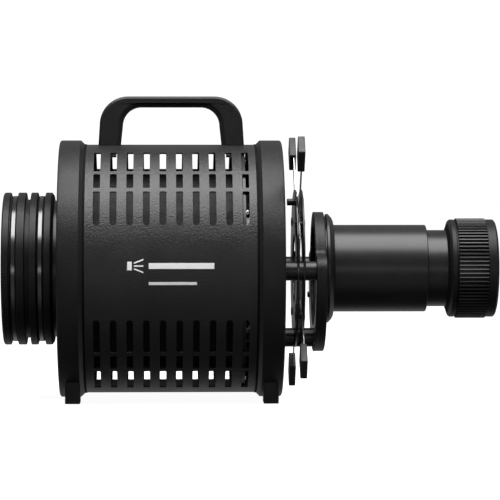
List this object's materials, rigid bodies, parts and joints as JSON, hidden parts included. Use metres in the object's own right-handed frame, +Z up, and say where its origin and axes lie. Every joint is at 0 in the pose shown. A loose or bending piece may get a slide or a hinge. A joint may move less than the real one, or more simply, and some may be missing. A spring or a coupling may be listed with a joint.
{
  "type": "ellipsoidal spotlight attachment",
  "caption": "Drum-shaped spotlight attachment with a slotted housing, carrying handle, framing shutters and a focusing lens tube, for the front of a studio flash head.",
  "frame": {"origin": "centre of the bounding box in X and Y, on the surface that the feet stand on", "axes": "+X along the optical axis towards the lens, +Z up through the handle"},
  "size_m": [0.3824, 0.2037, 0.2353],
  "materials": {
    "black_paint": "satin powder coat",
    "black_anodised": "black anodised, satin",
    "collar_rubber": "matt",
    "grip_plastic": "fine grain",
    "steel": "polished",
    "blade_steel": "brushed",
    "aluminium": "satin",
    "lens_glass": "polished",
    "frosted_glass": "frosted"
  },
  "bodies": {
    "housing": {"mount_collar": "collar_rubber", "collar_band_rear": "steel", "collar_band_front": "steel", "collar_flange": "black_anodised", "rear_ring": "black_paint", "body_shell": "black_paint", "front_ring": "black_paint", "handle": "black_paint", "handle_screw_rear": "steel", "handle_screw_front": "steel", "foot_rear_far": "collar_rubber", "foot_rear_near": "collar_rubber", "foot_front_far": "collar_rubber", "foot_front_near": "collar_rubber", "diffuser_glass": "frosted_glass", "light_tunnel": "black_paint", "condenser_cell": "aluminium", "condenser_web": "black_anodised", "rear_plate": "black_paint", "front_plate": "black_paint", "condenser_lens_rear": "lens_glass", "condenser_spacer": "black_anodised", "condenser_lens_front": "lens_glass", "gate_rear_plate": "aluminium", "gate_front_plate": "black_anodised", "lens_plate": "black_paint", "accessory_guide": "aluminium", "lens_flange": "black_anodised", "lens_barrel": "black_anodised", "rear_spacer_near": "black_anodised", "front_spacer_near": "black_anodised", "tie_bolt_near": "steel", "rear_spacer_far": "black_anodised", "front_spacer_far": "black_anodised", "tie_bolt_far": "steel", "rear_spacer_bottom": "black_anodised", "front_spacer_bottom": "black_anodised", "tie_bolt_bottom": "steel"},
    "lens_tube": {"draw_tube": "black_anodised", "projection_lens_rear": "lens_glass", "projection_lens_front": "lens_glass", "lens_retainer": "black_anodised"},
    "focus_ring": {"focus_ring": "black_anodised"},
    "gate_lock_knob": {"gate_lock_knob": "black_anodised"},
    "guide_knob": {"guide_knob": "black_anodised"},
    "pivot_near_top": {"stud_near_top": "black_anodised"},
    "shutter_near_top": {"blade_near_top": "blade_steel", "grip_near_top": "grip_plastic"},
    "pivot_far_top": {"stud_far_top": "black_anodised"},
    "shutter_far_top": {"blade_far_top": "blade_steel", "grip_far_top": "grip_plastic"},
    "pivot_far_bottom": {"stud_far_bottom": "black_anodised"},
    "shutter_far_bottom": {"blade_far_bottom": "blade_steel", "grip_far_bottom": "grip_plastic"},
    "pivot_near_bottom": {"stud_near_bottom": "black_anodised"},
    "shutter_near_bottom": {"blade_near_bottom": "blade_steel", "grip_near_bottom": "grip_plastic"}
  },
  "joints": [
    {"name": "shutter_near_top_tilt", "type": "hinge", "parent": "housing", "child": "pivot_near_top", "pos_m": [0.03725, -0.03535, 0.13686], "axis": [1, 0, 0], "range_deg": [-12, 12]},
    {"name": "shutter_near_top_slide", "type": "slide", "parent": "pivot_near_top", "child": "shutter_near_top", "axis": [0, 0.7071, -0.7071], "range_m": [-0.0012, 0.0288]},
    {"name": "shutter_far_top_tilt", "type": "hinge", "parent": "housing", "child": "pivot_far_top", "pos_m": [0.03725, 0.03535, 0.13686], "axis": [1, 0, 0], "range_deg": [-12, 12]},
    {"name": "shutter_far_top_slide", "type": "slide", "parent": "pivot_far_top", "child": "shutter_far_top", "axis": [0, -0.7071, -0.7071], "range_m": [-0.0002, 0.0298]},
    {"name": "shutter_far_bottom_tilt", "type": "hinge", "parent": "housing", "child": "pivot_far_bottom", "pos_m": [0.03725, 0.03535, 0.06614], "axis": [1, 0, 0], "range_deg": [-6, 18]},
    {"name": "shutter_far_bottom_slide", "type": "slide", "parent": "pivot_far_bottom", "child": "shutter_far_bottom", "axis": [0, -0.6293, 0.7771], "range_m": [-0.0136, 0.0164]},
    {"name": "shutter_near_bottom_tilt", "type": "hinge", "parent": "housing", "child": "pivot_near_bottom", "pos_m": [0.03725, -0.03535, 0.06614], "axis": [1, 0, 0], "range_deg": [-2, 22]},
    {"name": "shutter_near_bottom_slide", "type": "slide", "parent": "pivot_near_bottom", "child": "shutter_near_bottom", "axis": [0, 0.8192, 0.5736], "range_m": [-0.0216, 0.0084]},
    {"name": "focus_travel", "type": "slide", "parent": "housing", "child": "lens_tube", "axis": [1, 0, 0], "range_m": [-0.015, 0.015]},
    {"name": "focus_turn", "type": "hinge", "parent": "lens_tube", "child": "focus_ring", "pos_m": [0.17225, 0, 0.1015], "axis": [1, 0, 0], "range_deg": [-150, 150]},
    {"name": "gate_lock_turn", "type": "hinge", "parent": "housing", "child": "gate_lock_knob", "pos_m": [0.03225, 0, 0.1532], "axis": [1, 0, 0], "continuous": true},
    {"name": "guide_knob_turn", "type": "hinge", "parent": "housing", "child": "guide_knob", "pos_m": [0.04725, 0.05, 0.0787], "axis": [1, 0, 0], "continuous": true}
  ],
  "couplings": [
    {"joint": "focus_travel", "follows": "focus_turn", "m_per_rad": 0.00573}
  ]
}
